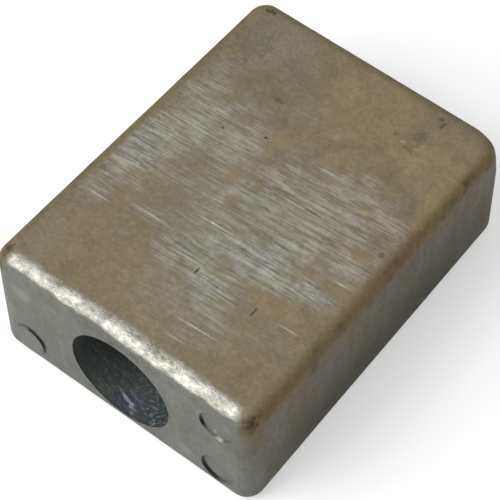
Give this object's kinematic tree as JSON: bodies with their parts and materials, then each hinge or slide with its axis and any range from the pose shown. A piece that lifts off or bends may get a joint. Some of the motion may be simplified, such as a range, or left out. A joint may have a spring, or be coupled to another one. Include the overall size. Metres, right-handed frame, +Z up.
{
  "type": "sacrificial anode",
  "caption": "Die-cast zinc block anode, rounded and slightly tapered, with a deep pocket for a screw's head in its wide end and a clear screw hole through the far wall.",
  "frame": {"origin": "middle of the footprint, on the broad face that the block lies on", "axes": "+Y along the length, from the wide front end with the pocket's mouth towards the narrow back end; +Z up, from one broad face to the other; +X across the width"},
  "size_m": [0.0494, 0.0654, 0.0239],
  "materials": {
    "cast_zinc": "as-cast zinc alloy with a brown-grey oxide, rubbed bare in fine scratches on its broad face"
  },
  "bodies": {
    "root": {"anode_block": "cast_zinc"}
  },
  "joints": []
}
